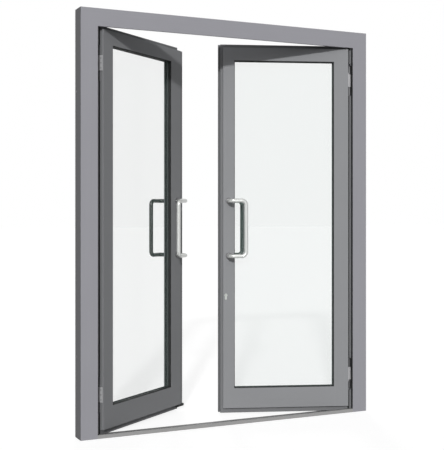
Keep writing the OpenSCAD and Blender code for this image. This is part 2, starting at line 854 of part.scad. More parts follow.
// Lever that lies in the case and is flipped over to drive the rod
module bolt_lever() {
  color(bright) {
    translate([lever_x, lever_t / 2, 0]) rotate([90, 0, 0]) cylinder(d = lever_w, h = lever_t);
    block([lever_x - lever_w / 2, -lever_t / 2, 0], [lever_x + lever_w / 2, lever_t / 2, lever_l]);
    translate([lever_x, case_t / 2 - 2, 0]) rotate([90, 0, 0]) cylinder(d = lever_pin_d, h = case_t - 4);
  }
}

module bolt_rod(length) color(steel) translate([rod_x, 0, rod_start]) cylinder(d = rod_d, h = length);

module upper_bolt_case() flush_bolt(upper_bolt_z, 1) bolt_case();
module upper_bolt_lever() flush_bolt(upper_bolt_z, 1) bolt_lever();
module upper_bolt_rod() flush_bolt(upper_bolt_z, 1) bolt_rod(z_flange_top - 1 - upper_bolt_z - rod_start);
module lower_bolt_case() flush_bolt(lower_bolt_z, -1) bolt_case();
module lower_bolt_lever() flush_bolt(lower_bolt_z, -1) bolt_lever();
module lower_bolt_rod() flush_bolt(lower_bolt_z, -1) bolt_rod(lower_bolt_z - rod_start - flange_foot - 6);

left_jamb();
right_jamb();
head();
threshold();
frame_corner_cleats();
frame_stop_seals();
hinge_frame_halves();
hinge_pins();
head_bolt_keep();
left_hinge_stile();
left_meeting_stile();
left_top_rail();
left_bottom_rail();
left_outer_pane();
left_inner_pane();
left_spacer();
left_glazing_beads();
left_front_gasket();
left_rear_gasket();
left_setting_blocks();
left_end_plugs();
left_hinge_leaf_halves();
left_front_handle();
left_rear_handle();
left_handle_roses();
left_handle_studs();
left_bottom_seal();
meeting_dust_block();
lock_keep();
upper_bolt_case();
upper_bolt_lever();
upper_bolt_rod();
lower_bolt_case();
lower_bolt_lever();
lower_bolt_rod();
right_hinge_stile();
right_meeting_stile();
right_top_rail();
right_bottom_rail();
right_outer_pane();
right_inner_pane();
right_spacer();
right_glazing_beads();
right_front_gasket();
right_rear_gasket();
right_setting_blocks();
right_end_plugs();
right_hinge_leaf_halves();
right_front_handle();
right_rear_handle();
right_handle_roses();
right_handle_studs();
right_bottom_seal();
meeting_seal();
lock_case();
lock_faceplate();
key_cylinder();
key_plug();
deadbolt();
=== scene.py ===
# %% [markdown]
# # Glazed aluminium double door
# The CAD frame gives every extrusion, pane, hinge and handle at its true place. This lesson adds
# what CAD leaves out: satin metal with a drawn grain, black rubber, clear glass, screws and brush
# bristles, and the light and camera of the photograph.

# %% Load the frame
import json
import math
import bpy
import numpy as np
from mathutils import Matrix, Vector


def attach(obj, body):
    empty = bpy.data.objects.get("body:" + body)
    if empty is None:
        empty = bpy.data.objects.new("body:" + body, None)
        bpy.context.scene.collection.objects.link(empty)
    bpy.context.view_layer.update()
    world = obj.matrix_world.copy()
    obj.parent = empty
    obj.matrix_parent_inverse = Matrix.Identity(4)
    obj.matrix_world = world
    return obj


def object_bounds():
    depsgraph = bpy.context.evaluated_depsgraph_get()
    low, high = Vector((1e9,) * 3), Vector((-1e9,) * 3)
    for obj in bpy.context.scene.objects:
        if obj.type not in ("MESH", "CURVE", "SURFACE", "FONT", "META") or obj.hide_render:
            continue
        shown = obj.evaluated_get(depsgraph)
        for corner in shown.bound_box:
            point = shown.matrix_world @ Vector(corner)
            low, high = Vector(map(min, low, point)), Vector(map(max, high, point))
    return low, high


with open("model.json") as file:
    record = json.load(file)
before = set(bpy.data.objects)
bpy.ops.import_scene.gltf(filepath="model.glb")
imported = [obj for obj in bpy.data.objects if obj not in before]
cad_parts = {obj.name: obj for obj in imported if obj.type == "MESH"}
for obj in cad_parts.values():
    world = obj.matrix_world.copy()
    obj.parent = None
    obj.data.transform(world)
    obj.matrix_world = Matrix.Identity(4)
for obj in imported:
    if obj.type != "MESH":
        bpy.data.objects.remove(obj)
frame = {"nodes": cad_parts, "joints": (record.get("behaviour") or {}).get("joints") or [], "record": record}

cad_low, cad_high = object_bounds()
nodes = frame["nodes"]
print("CAD nodes:", len(nodes), "box:", [round(v, 3) for v in (*cad_low, *cad_high)])

# %% [markdown]
# ## Where the leaves stand
# The photograph shows both leaves ajar, and that is the rest pose. A piece on a leaf is easiest to
# place on a closed leaf, so we read each hinge from the frame and keep one matrix per leaf that
# takes a closed-leaf point to the rest pose. The lower limit of the hinge is the closed position.

# %% Read the hinges
joints = {j["name"]: j for j in frame["joints"]}


def leaf_matrix(name):
    """Matrix that takes a point on the closed leaf to the rest pose."""
    j = joints[name]
    pivot = Vector(j["pos_m"])
    turn = Matrix.Rotation(-math.radians(j["range_deg"][0]), 4, Vector(j["axis"]))
    return Matrix.Translation(pivot) @ turn @ Matrix.Translation(-pivot)


PLACE = {
    "frame": Matrix.Identity(4),
    "left_leaf": leaf_matrix("left_leaf_hinge"),
    "right_leaf": leaf_matrix("right_leaf_hinge"),
}


def closed_points(node, body):
    """Vertices of a CAD node with its leaf closed, one in each row."""
    back = PLACE[body].inverted()
    return np.array([back @ v.co for v in nodes[node].data.vertices])


def closed_box(node, body):
    """Box of a CAD node with its leaf closed."""
    co = closed_points(node, body)
    return Vector(co.min(0)), Vector(co.max(0))


for name in ("left_leaf_hinge", "right_leaf_hinge"):
    print(name, "stands open by", -joints[name]["range_deg"][0], "degrees")

# %% [markdown]
# ## A shared effect: drawn grain
# Anodised extrusions are drawn through a die, so they carry very fine lines along their length and
# a cloudy sheen. One shader group makes both: noise stretched along an axis for the lines, soft
# noise for the clouds. Each material sets its own amounts. Object coordinates keep it in metres.

# %% Build the grain group
def new_group(name, inputs, outputs):
    g = bpy.data.node_groups.new(name, "ShaderNodeTree")
    for label, kind, value in inputs:
        s = g.interface.new_socket(label, in_out="INPUT", socket_type=kind)
        s.default_value = value
    for label, kind in outputs:
        g.interface.new_socket(label, in_out="OUTPUT", socket_type=kind)
    return g, g.nodes.new("NodeGroupInput"), g.nodes.new("NodeGroupOutput")


def add(tree, kind, **values):
    n = tree.nodes.new(kind)
    for k, v in values.items():
        if k in n.inputs:
            n.inputs[k].default_value = v
        else:
            setattr(n, k, v)
    return n


def noise(tree, vector, scale, detail=3.0):
    n = add(tree, "ShaderNodeTexNoise", Scale=scale, Detail=detail)
    tree.links.new(vector, n.inputs["Vector"])
    return n.outputs["Fac"]


def maths(tree, operation, a, b):
    n = tree.nodes.new("ShaderNodeMath")
    n.operation = operation
    for socket, value in ((n.inputs[0], a), (n.inputs[1], b)):
        if isinstance(value, (int, float)):
            socket.default_value = value
        else:
            tree.links.new(value, socket)
    return n.outputs[0]


def tinted(tree, colour, factor):
    """Colour times a grey factor."""
    n = add(tree, "ShaderNodeMix", data_type="RGBA", blend_type="MULTIPLY")
    n.inputs["Factor"].default_value = 1.0
    tree.links.new(colour, n.inputs["A"])
    tree.links.new(factor, n.inputs["B"])
    return n.outputs["Result"]


COLOUR, VALUE, VECTOR = "NodeSocketColor", "NodeSocketFloat", "NodeSocketVector"
grain, g_in, g_out = new_group(
    "Drawn grain",
    [("Colour", COLOUR, (0.5, 0.5, 0.5, 1)), ("Stretch", VECTOR, (900, 900, 3)),
     ("Grain", VALUE, 0.1), ("Cloud", VALUE, 0.1), ("Roughness", VALUE, 0.4)],
    [("Colour", COLOUR), ("Roughness", VALUE), ("Height", VALUE)],
)
coords = grain.nodes.new("ShaderNodeTexCoord").outputs["Object"]
stretch = add(grain, "ShaderNodeVectorMath", operation="MULTIPLY")
grain.links.new(coords, stretch.inputs[0])
grain.links.new(g_in.outputs["Stretch"], stretch.inputs[1])
lines = noise(grain, stretch.outputs[0], 1.0, 2.0)
clouds = noise(grain, coords, 5.0)
line_part = maths(grain, "MULTIPLY", maths(grain, "SUBTRACT", lines, 0.5), g_in.outputs["Grain"])
cloud_part = maths(grain, "MULTIPLY", maths(grain, "SUBTRACT", clouds, 0.5), g_in.outputs["Cloud"])
both = maths(grain, "ADD", maths(grain, "ADD", line_part, cloud_part), 1.0)
grain.links.new(tinted(grain, g_in.outputs["Colour"], both), g_out.inputs["Colour"])
rough = maths(grain, "ADD", g_in.outputs["Roughness"], maths(grain, "MULTIPLY", line_part, 0.8))
grain.links.new(rough, g_out.inputs["Roughness"])
grain.links.new(line_part, g_out.inputs["Height"])
print("group:", grain.name, [s.name for s in grain.interface.items_tree])

# %% [markdown]
# ## A second shared effect: trim dust
# Rubber and plastic gather pale dust in patches. The group lifts the colour and the roughness where
# a coarse noise is high, so black trim doesn't read as a flat cut-out.

# %% Build the dust group
dust, d_in, d_out = new_group(
    "Trim dust",
    [("Colour", COLOUR, (0.02, 0.02, 0.02, 1)), ("Amount", VALUE, 0.5), ("Scale", VALUE, 30.0)],
    [("Colour", COLOUR), ("Roughness", VALUE), ("Height", VALUE)],
)
d_coords = dust.nodes.new("ShaderNodeTexCoord").outputs["Object"]
fine = add(dust, "ShaderNodeTexNoise", Detail=5.0)
dust.links.new(d_coords, fine.inputs["Vector"])
dust.links.new(d_in.outputs["Scale"], fine.inputs["Scale"])
patch = maths(dust, "MULTIPLY", fine.outputs["Fac"], d_in.outputs["Amount"])
lift = maths(dust, "ADD", patch, 0.8)
dust.links.new(tinted(dust, d_in.outputs["Colour"], lift), d_out.inputs["Colour"])
dusty = maths(dust, "ADD", maths(dust, "MULTIPLY", patch, 0.3), 0.5)
dust.links.new(dusty, d_out.inputs["Roughness"])
dust.links.new(fine.outputs["Fac"], d_out.inputs["Height"])
print("group:", dust.name)

# %% [markdown]
# ## A third shared effect: set-back shade
# Rebates, flanges and hidden sides are duller and darker than the faces, because they lie in shade,
# and the group paints that shade into their colour. It measures how far a point lies behind a plane
# and darkens it between two depths, up to a back limit where the next face starts unshaded.

# %% Build the set-back group
BACK_MARGIN = 0.0015
shade, h_in, h_out = new_group(
    "Set-back shade",
    [("Colour", COLOUR, (0.5, 0.5, 0.5, 1)), ("Facing", VECTOR, (0, -1, 0)),
     ("Offset", VALUE, 0.0), ("Start", VALUE, 0.002), ("End", VALUE, 0.03),
     ("Back", VALUE, 0.05), ("Depth", VALUE, 0.5)],
    [("Colour", COLOUR)],
)
along_normal = add(shade, "ShaderNodeVectorMath", operation="DOT_PRODUCT")
shade.links.new(shade.nodes.new("ShaderNodeTexCoord").outputs["Object"], along_normal.inputs[0])
shade.links.new(h_in.outputs["Facing"], along_normal.inputs[1])
behind = maths(shade, "SUBTRACT", h_in.outputs["Offset"], along_normal.outputs["Value"])
ramp = add(shade, "ShaderNodeMapRange")
shade.links.new(behind, ramp.inputs["Value"])
shade.links.new(h_in.outputs["Start"], ramp.inputs["From Min"])
shade.links.new(h_in.outputs["End"], ramp.inputs["From Max"])
limit = maths(shade, "SUBTRACT", h_in.outputs["Back"], BACK_MARGIN)
inside = maths(shade, "LESS_THAN", behind, limit)
within = maths(shade, "MULTIPLY", ramp.outputs["Result"], inside)
amount = maths(shade, "MULTIPLY", within, h_in.outputs["Depth"])
darker = tinted(shade, h_in.outputs["Colour"], maths(shade, "SUBTRACT", 1.0, amount))
shade.links.new(darker, h_out.inputs["Colour"])
print("group:", shade.name)

# %% [markdown]
# ## Materials
# The satin aluminium looks more like a matt coat than like bright metal, so it is only a little
# metallic, fairly rough, and has weak highlights. Each finish is a Principled shader fed by one of
# the groups. Steel is darker and smoother, and the key cylinder is nickel. The front handles have a
# bright brush, and the rear ones are the same brush made dark, as painted shade.

# %% Write the finish helpers
def principled(name):
    m = bpy.data.materials.new(name)
    m.use_nodes = True
    m.node_tree.nodes.clear()
    out = m.node_tree.nodes.new("ShaderNodeOutputMaterial")
    shader = m.node_tree.nodes.new("ShaderNodeBsdfPrincipled")
    m.node_tree.links.new(shader.outputs[0], out.inputs["Surface"])
    return m, m.node_tree, shader


SPECULAR, BUMP_REACH = 0.14, 0.0005
GRAIN_ACROSS, GRAIN_ALONG = 700.0, 4.0
GRAIN_BUMP, CLOUD = 0.05, 0.06
X, Y, Z = 0, 1, 2


def finish(name, group, metallic, bump, set_back=None, **values):
    """Material from a group with the given inputs, and a set-back shade if its inputs are given."""
    m, tree, shader = principled(name)
    g = tree.nodes.new("ShaderNodeGroup")
    g.node_tree = group
    for k, v in values.items():
        g.inputs[k].default_value = v
    shader.inputs["Metallic"].default_value = metallic
    shader.inputs["Specular IOR Level"].default_value = SPECULAR
    colour = g.outputs["Colour"]
    if set_back:
        dimmer = tree.nodes.new("ShaderNodeGroup")
        dimmer.node_tree = shade
        for k, v in set_back.items():
            dimmer.inputs[k].default_value = v
        tree.links.new(colour, dimmer.inputs["Colour"])
        colour = dimmer.outputs["Colour"]
    tree.links.new(colour, shader.inputs["Base Color"])
    tree.links.new(g.outputs["Roughness"], shader.inputs["Roughness"])
    relief = add(tree, "ShaderNodeBump", Strength=bump, Distance=BUMP_REACH)
    tree.links.new(g.outputs["Height"], relief.inputs["Height"])
    tree.links.new(relief.outputs["Normal"], shader.inputs["Normal"])
    return m


def satin(name, grey, axis, metallic, roughness, lines_amount=0.10, set_back=None):
    """Drawn metal with its grain along one axis."""
    along = [GRAIN_ACROSS] * 3
    along[axis] = GRAIN_ALONG
    return finish(name, grain, metallic, GRAIN_BUMP, set_back, Colour=(*grey, 1), Stretch=along,
                  Grain=lines_amount, Cloud=CLOUD, Roughness=roughness)


def leaf_set_back(body, depth, end):
    """Plane of a leaf's front face at rest, for the set-back group."""
    normal = PLACE[body].to_3x3() @ Vector((0, -1, 0))
    point = PLACE[body] @ closed_box(body.replace("_leaf", "_hinge_stile"), body)[0]
    return {"Facing": normal, "Offset": normal.dot(point), "Start": 0.0005, "End": end,
            "Back": 0.05, "Depth": depth}


print("satin finishes: specular", SPECULAR, "grain", GRAIN_ACROSS, "across and", GRAIN_ALONG, "along")

# %% [markdown]
# The frame's outer left side gets painted shade from the same group. Its plane lies just outside the
# part, and its start lies beyond its end, so that only the outermost face is dark and all that is
# deeper keeps its own grey.

# %% Make the finishes
FRAME_GREY = (0.322, 0.320, 0.347)
LEAF_GREY = (0.262, 0.266, 0.275)
SILL_GREY = (0.347, 0.345, 0.342)
FRAME_LOOK = {"metallic": 0.1, "roughness": 0.5}
LEAF_LOOK = {"metallic": 0.05, "roughness": 0.6}
HANDLE_LOOK = {"metallic": 0.8, "roughness": 0.30, "lines_amount": 0.14}
# Painted shade on the leaves: what lies behind a leaf's front face is darkened.
LEAF_SHADE, EDGE_SHADE, WALL_SHADE = 0.28, 0.65, 0.74
LEAF_FADE, EDGE_FADE = 0.010, 0.050
# Painted shade on the frame's outer left side.
left_side_painted_shade = {"Facing": (-1, 0, 0), "Offset": -cad_low[0] + 0.0002, "Start": 0.001, "End": 0.0005,
             "Back": 9.0, "Depth": WALL_SHADE}
frame_upright = satin("Frame aluminium upright", FRAME_GREY, Z, set_back=left_side_painted_shade, **FRAME_LOOK)
frame_level = satin("Frame aluminium level", FRAME_GREY, X, **FRAME_LOOK)
sill_level = satin("Threshold aluminium", SILL_GREY, X, **FRAME_LOOK)
leaf_upright, leaf_level = {}, {}
for body in ("left_leaf", "right_leaf"):
    shading = leaf_set_back(body, LEAF_SHADE, LEAF_FADE)
    leaf_upright[body] = satin(f"Leaf aluminium upright {body}", LEAF_GREY, Z, set_back=shading,
                               **LEAF_LOOK)
    leaf_level[body] = satin(f"Leaf aluminium level {body}", LEAF_GREY, X, set_back=shading,
                             **LEAF_LOOK)
# The right meeting stile's flange and rear lip take a deeper painted shade.
edge_shading = leaf_set_back("right_leaf", EDGE_SHADE, EDGE_FADE)
meeting_edge = satin("Leaf aluminium meeting edge", LEAF_GREY, Z, set_back=edge_shading,
                     **LEAF_LOOK)
handle_metal = satin("Brushed handle metal", (0.60, 0.61, 0.595), Z, **HANDLE_LOOK)
# The rear handles are the handle metal made dark: painted shade.
shaded_rear_handle_metal = satin("Brushed handle metal in painted shade", (0.075, 0.077, 0.075), Z, **HANDLE_LOOK)
hinge_metal = satin("Hinge knuckle metal", (0.46, 0.46, 0.47), Z, 0.15, 0.5)
steel = satin("Hinge and lock steel", (0.16, 0.16, 0.165), Z, 0.7, 0.36, 0.14)
mill = satin("Mill aluminium", (0.36, 0.37, 0.37), Z, 0.5, 0.5, 0.12)
spacer_metal = satin("Dark spacer bar", (0.07, 0.075, 0.075), Z, 0.3, 0.5, 0.12)
nickel = satin("Nickel plate", (0.56, 0.58, 0.56), Y, 0.15, 0.3, 0.08)
rubber = finish("Black rubber", dust, 0.0, 0.15, Colour=(0.026, 0.027, 0.027, 1), Amount=0.9,
                Scale=40.0)
plastic = finish("Black plastic", dust, 0.0, 0.1, Colour=(0.02, 0.02, 0.021, 1), Amount=0.7,
                 Scale=90.0)
print("materials:", [m.name for m in bpy.data.materials])

# %% [markdown]
# ## Clear float glass
# The panes only tint the white behind them a little. A thin, mostly see-through surface with a faint
# green base gives that tint without bending the view, and the group's clouds keep it from being flat.

# %% Make the glass
GLASS_ALPHA = 0.042
glass, glass_tree, glass_shader = principled("Clear float glass")
sheen = glass_tree.nodes.new("ShaderNodeGroup")
sheen.node_tree = grain
for key, value in {"Colour": (0.20, 0.34, 0.30, 1), "Stretch": (2.0, 2.0, 0.6), "Grain": 0.03,
                   "Cloud": 0.05, "Roughness": 0.04}.items():
    sheen.inputs[key].default_value = value
glass_tree.links.new(sheen.outputs["Colour"], glass_shader.inputs["Base Color"])
glass_tree.links.new(sheen.outputs["Roughness"], glass_shader.inputs["Roughness"])
glass_shader.inputs["Alpha"].default_value = GLASS_ALPHA
print("glass alpha:", GLASS_ALPHA)

# %% [markdown]
# ## Dress the CAD nodes
# The record names a slot for every node. Extrusions that lie flat, such as the head and the rails,
# take the level grain, because a drawn grain always runs along the bar.

# %% Assign materials
BY_SLOT = {
    "frame_aluminium": frame_upright, "cast_aluminium": mill, "spacer_aluminium": spacer_metal,
    "hinge_aluminium": hinge_metal, "handle_metal": handle_metal, "hinge_steel": steel,
    "lock_steel": steel, "lock_nickel": nickel, "clear_glass": glass, "black_rubber": rubber,
    "black_plastic": plastic,
}
BY_NODE = {"head": frame_level, "threshold": sill_level}
for label in ("left", "right"):
    for bar in ("hinge_stile", "meeting_stile", "glazing_beads"):
        BY_NODE[f"{label}_{bar}"] = leaf_upright[label + "_leaf"]
    for bar in ("top_rail", "bottom_rail"):
        BY_NODE[f"{label}_{bar}"] = leaf_level[label + "_leaf"]
    BY_NODE[f"{label}_handle_roses"] = steel
    BY_NODE[f"{label}_rear_handle"] = shaded_rear_handle_metal
BY_NODE["right_meeting_stile"] = meeting_edge
for part in frame["record"]["subparts"]:
    material = BY_NODE.get(part["node"]) or BY_SLOT[part["material_slot"]]
    mesh = nodes[part["node"]].data
    mesh.materials.clear()
    mesh.materials.append(material)

# %% [markdown]
# ## Screws
# Hinge wings, the lock faceplate, the keep and the bolt cases are held by countersunk screws with a
# cross recess. They repeat, so a Geometry Nodes tree makes one head, cuts the recess, and puts it on
# every point of a small point mesh. Points are given with the leaf closed and then moved to the rest
# pose.

# %% Build the screw tree
def geometry_tree(name, sizes):
    t = bpy.data.node_groups.new(name, "GeometryNodeTree")
    t.interface.new_socket("Geometry", in_out="INPUT", socket_type="NodeSocketGeometry")
    ids = {}
    for label, kind, value in sizes:
        s = t.interface.new_socket(label, in_out="INPUT", socket_type=kind)
        if value is not None:
            s.default_value = value
        ids[label] = s.identifier
    t.interface.new_socket("Geometry", in_out="OUTPUT", socket_type="NodeSocketGeometry")
    return t, ids, t.nodes.new("NodeGroupInput"), t.nodes.new("NodeGroupOutput")


def combine(tree, x, y, z):
    n = tree.nodes.new("ShaderNodeCombineXYZ")
    for socket, value in zip(n.inputs, (x, y, z)):
        if isinstance(value, (int, float)):
            socket.default_value = value
        else:
            tree.links.new(value, socket)
    return n.outputs[0]


screws, screw_ids, s_in, s_out = geometry_tree(
    "Countersunk screws",
    [("Head radius", VALUE, 0.0045), ("Head height", VALUE, 0.0008),
     ("Facing", "NodeSocketRotation", None), ("Material", "NodeSocketMaterial", None)],
)
disc = add(screws, "GeometryNodeMeshCylinder", Vertices=28)
screws.links.new(s_in.outputs["Head radius"], disc.inputs["Radius"])
screws.links.new(s_in.outputs["Head height"], disc.inputs["Depth"])
arm = maths(screws, "MULTIPLY", s_in.outputs["Head radius"], 1.2)
thin = maths(screws, "MULTIPLY", s_in.outputs["Head radius"], 0.28)
recess = add(screws, "GeometryNodeMeshBoolean", operation="DIFFERENCE")
screws.links.new(disc.outputs["Mesh"], recess.inputs["Mesh 1"])
for size in ((arm, thin), (thin, arm)):
    bar = screws.nodes.new("GeometryNodeMeshCube")
    screws.links.new(combine(screws, *size, s_in.outputs["Head height"]), bar.inputs["Size"])
    lifted = screws.nodes.new("GeometryNodeTransform")
    screws.links.new(bar.outputs["Mesh"], lifted.inputs["Geometry"])
    half = maths(screws, "MULTIPLY", s_in.outputs["Head height"], 0.5)
    screws.links.new(combine(screws, 0.0, 0.0, half), lifted.inputs["Translation"])
    screws.links.new(lifted.outputs["Geometry"], recess.inputs["Mesh 2"])
spots = screws.nodes.new("GeometryNodeInstanceOnPoints")
screws.links.new(s_in.outputs["Geometry"], spots.inputs["Points"])
screws.links.new(recess.outputs["Mesh"], spots.inputs["Instance"])
screws.links.new(s_in.outputs["Facing"], spots.inputs["Rotation"])


def close_tree(tree, instances, g_input, g_output):
    """End of a tree: real faces with the material that the tree was given."""
    real = tree.nodes.new("GeometryNodeRealizeInstances")
    coat = tree.nodes.new("GeometryNodeSetMaterial")
    tree.links.new(instances, real.inputs[0])
    tree.links.new(real.outputs[0], coat.inputs["Geometry"])
    tree.links.new(g_input.outputs["Material"], coat.inputs["Material"])
    tree.links.new(coat.outputs[0], g_output.inputs[0])


close_tree(screws, spots.outputs["Instances"], s_in, s_out)
print("tree:", screws.name, "inputs:", list(screw_ids))

# %% [markdown]
# A modifier's inputs are set by their identifiers. The evaluated result becomes a plain mesh, so the
# export sees real faces, and the point object goes away.

# %% Turn a tree into a plain mesh on a body
def grow(name, points, tree, ids, values, body):
    source = bpy.data.meshes.new(name + " points")
    source.from_pydata([PLACE[body] @ Vector(p) for p in points], [], [])
    obj = bpy.data.objects.new(name + " source", source)
    bpy.context.scene.collection.objects.link(obj)
    modifier = obj.modifiers.new("Grow", "NODES")
    modifier.node_group = tree
    for label, value in values.items():
        modifier[ids[label]] = value
    bpy.context.view_layer.update()
    done = obj.evaluated_get(bpy.context.evaluated_depsgraph_get())
    mesh_out = bpy.data.meshes.new_from_object(done)
    obj.modifiers.remove(modifier)
    bpy.data.objects.remove(obj)
    piece = bpy.data.objects.new(name, mesh_out)
    bpy.context.scene.collection.objects.link(piece)
    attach(piece, body)
    print(name, "made:", len(points), "points,", len(mesh_out.polygons), "faces, on", body)


def facing(body, direction):
    """Turn that points a screw's +Z along a closed-leaf direction."""
    world = PLACE[body].to_3x3() @ Vector(direction)
    return world.to_track_quat("Z", "Y").to_euler()


print("turn to the left leaf's front:", [round(v, 3) for v in facing("left_leaf", (0, -1, 0))])

# %% [markdown]
# ## Hinge screws
# A frame wing has its screws beyond the barrel, on the face of the jamb's rebate. A leaf wing has its
# screws on the stile's edge, where they show when the leaf is open. Hinge heights come from the frame.

# %% Place the hinge screws
def solid_boxes(node, body):
    """Closed-leaf boxes of a node's hinges, told apart by side and by upper or lower half."""
    co = closed_points(node, body)
    middle = (co[:, Z].min() + co[:, Z].max()) / 2
    boxes = []
    for side in (co[:, X] < 0, co[:, X] >= 0):
        for level in (co[:, Z] < middle, co[:, Z] >= middle):
            some = co[side & level]
            if len(some):
                boxes.append((Vector(some.min(0)), Vector(some.max(0))))
    return boxes


WING_T, WING_INSET = 0.003, 0.009
HEAD_H, HINGE_HEAD_R, HINGE_PROUD = 0.0008, 0.0042, 0.4
FRAME_STEPS, LEAF_STEPS = (-0.062, -0.022, 0.022, 0.062), (-0.024, 0.0, 0.024)
for sign, label in ((1, "left"), (-1, "right")):
    points = []
    for low, high in solid_boxes("hinge_frame_halves", "frame"):
        if (low.x + high.x) * sign > 0:
            continue
        face = (low.x + WING_T) if sign > 0 else (high.x - WING_T)
        mid = (low.z + high.z) / 2
        for dz in FRAME_STEPS:
            points.append((face + sign * HEAD_H * HINGE_PROUD, high.y - WING_INSET, mid + dz))
    grow(f"{label}_frame_hinge_screws", points, screws, screw_ids,
         {"Head radius": HINGE_HEAD_R, "Head height": HEAD_H,
          "Facing": facing("frame", (sign, 0, 0)), "Material": steel}, "frame")
    body = label + "_leaf"
    points = []
    for low, high in solid_boxes(label + "_hinge_leaf_halves", body):
        face = (high.x - WING_T) if sign > 0 else (low.x + WING_T)
        mid = (low.z + high.z) / 2
        for dz in LEAF_STEPS:
            points.append((face - sign * HEAD_H * HINGE_PROUD, low.y + WING_INSET, mid + dz))
    grow(f"{label}_leaf_hinge_screws", points, screws, screw_ids,
         {"Head radius": HINGE_HEAD_R, "Head height": HEAD_H,
          "Facing": facing(body, (-sign, 0, 0)), "Material": mill}, body)

# %% [markdown]
# ## Lock and flush bolt screws
# The faceplate, the keep and the two flush bolt cases are let into the meeting edges, each with a
# screw near both ends.

# %% Place the edge screws
EDGE_HEAD_R, EDGE_PROUD = 0.0036, 0.3
EDGE_PLATES = (
    ("lock_faceplate", "right_leaf", -1, 0.006),
    ("lock_keep", "left_leaf", 1, 0.010),
    ("upper_bolt_case", "left_leaf", 1, 0.008),
    ("lower_bolt_case", "left_leaf", 1, 0.008),
)
for node, body, sign, inset in EDGE_PLATES:
    low, high = closed_box(node, body)
    face = (high.x if sign > 0 else low.x) + sign * HEAD_H * EDGE_PROUD
    y = (low.y + high.y) / 2
    grow(node + "_screws", [(face, y, low.z + inset), (face, y, high.z - inset)],
         screws, screw_ids,
         {"Head radius": EDGE_HEAD_R, "Head height": HEAD_H,
          "Facing": facing(body, (sign, 0, 0)), "Material": steel}, body)

# %% [markdown]
# ## Gaskets on the jambs, with painted gap shade
# A black line runs between the right leaf and its jamb, partly a rubber gasket and partly the
# shade of the gap. A thin black rubber strip on the inner side of each stop lip makes it, and so also
# paints that shade. It is a plain box, from the threshold to the head. A helper makes dark rubber
# strips from boxes, because the leaves get some too, as painted shadow lines.

# %% Place the jamb gaskets
BOX_FACES = ((0, 1, 3, 2), (4, 6, 7, 5), (0, 4, 5, 1), (2, 3, 7, 6), (0, 2, 6, 4), (1, 5, 7, 3))


def dark_strips(name, boxes, body):
    """Black rubber piece from closed-leaf boxes, each given as x, y and z pairs from low to high: jamb
    gaskets and painted shadow lines.
    """
    corners, faces = [], []
    for xs, ys, zs in boxes:
        first = len(corners)
        corners += [PLACE[body] @ Vector((x, y, z)) for x in xs for y in ys for z in zs]
        faces += [[first + i for i in face] for face in BOX_FACES]
    strip_mesh = bpy.data.meshes.new(name)
    strip_mesh.from_pydata(corners, [], faces)
    strip_mesh.materials.append(rubber)
    strip = bpy.data.objects.new(name, strip_mesh)
    bpy.context.scene.collection.objects.link(strip)
    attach(strip, body)
    print(name, "boxes:", [[round(z, 3) for z in zs] for _, _, zs in boxes], "on", body)


STRIP_T, STRIP_FRONT, STRIP_BACK = 0.0025, 0.0015, 0.0125
head_low, _ = closed_box("head", "frame")
_, sill_high = closed_box("threshold", "frame")
for sign, label in ((1, "left"), (-1, "right")):
    low, high = closed_box(label + "_jamb", "frame")
    edge = high.x if sign > 0 else low.x
    xs = sorted((edge, edge + sign * STRIP_T))
    ys = (low.y + STRIP_FRONT, low.y + STRIP_BACK)
    # Each strip is a gasket that also paints the shade of the gap beside it.
    dark_strips(label + "_jamb_gasket_and_gap_shade", [(xs, ys, (sill_high.z, head_low.z))], "frame")

# %% [markdown]
# ## Painted step shadows on the leaves
# A flat black rubber strip lies on a leaf's set-back flange, in the corner beside its face, and
# paints the shadow that the face's step throws there, a thin dark line beside the right leaf's face.
# It stops at the hinge notches. The flange's plane and the notches are read from the stile's own
# vertices, with x turned so that both leaves are alike.

# %% Place the painted step shadows
REBATE_W, REBATE_T, NEAR = 0.0110, 0.0003, 0.0002
for sign, label in ((1, "left"), (-1, "right")):
    body = label + "_leaf"
    co = closed_points(label + "_hinge_stile", body) * (sign, 1, 1)
    outer = co[np.abs(co[:, X] - co[:, X].min()) < NEAR]
    plane = outer[:, Y].min()
    step = co[np.abs(co[:, Y] - co[:, Y].min()) < NEAR][:, X].min()
    flange = outer[np.abs(outer[:, Y] - plane) < NEAR]
    levels = sorted(set(np.round(flange[:, Z], 4)))
    xs, ys = sorted((sign * step, sign * (step - REBATE_W))), (plane - REBATE_T, plane)
    pairs = zip(levels[0::2], levels[1::2])
    # Each strip is painted shadow: the step's shadow on the flange.
    dark_strips(label + "_painted_step_shadow", [(xs, ys, pair) for pair in pairs], body)

# %% [markdown]
# ## Brush strips
# A brush under each leaf sweeps the threshold. Its bristles are thin cones in two rows under each
# length of holder, and leave the gap for the flush bolt free. Each leans a little at random, with a
# fixed seed so that every run gives the same brush.

# %% Build the bristle tree
bristles, bristle_ids, b_in, b_out = geometry_tree(
    "Brush bristles",
    [("Length", VALUE, 0.0025), ("Thickness", VALUE, 0.0004), ("Lean", VALUE, 0.25),
     ("Seed", "NodeSocketInt", 7), ("Material", "NodeSocketMaterial", None)],
)
hair = add(bristles, "GeometryNodeMeshCone", Vertices=4)
bristles.links.new(b_in.outputs["Thickness"], hair.inputs["Radius Bottom"])
tip = maths(bristles, "MULTIPLY", b_in.outputs["Thickness"], 0.4)
bristles.links.new(tip, hair.inputs["Radius Top"])
bristles.links.new(b_in.outputs["Length"], hair.inputs["Depth"])
lean = add(bristles, "FunctionNodeRandomValue", data_type="FLOAT_VECTOR")
plus = b_in.outputs["Lean"]
minus = maths(bristles, "MULTIPLY", plus, -1.0)
for label, tilt in (("Min", minus), ("Max", plus)):
    over = maths(bristles, "ADD", tilt, math.pi)
    bristles.links.new(combine(bristles, over, tilt, 0.0), lean.inputs[label])
bristles.links.new(b_in.outputs["Seed"], lean.inputs["Seed"])
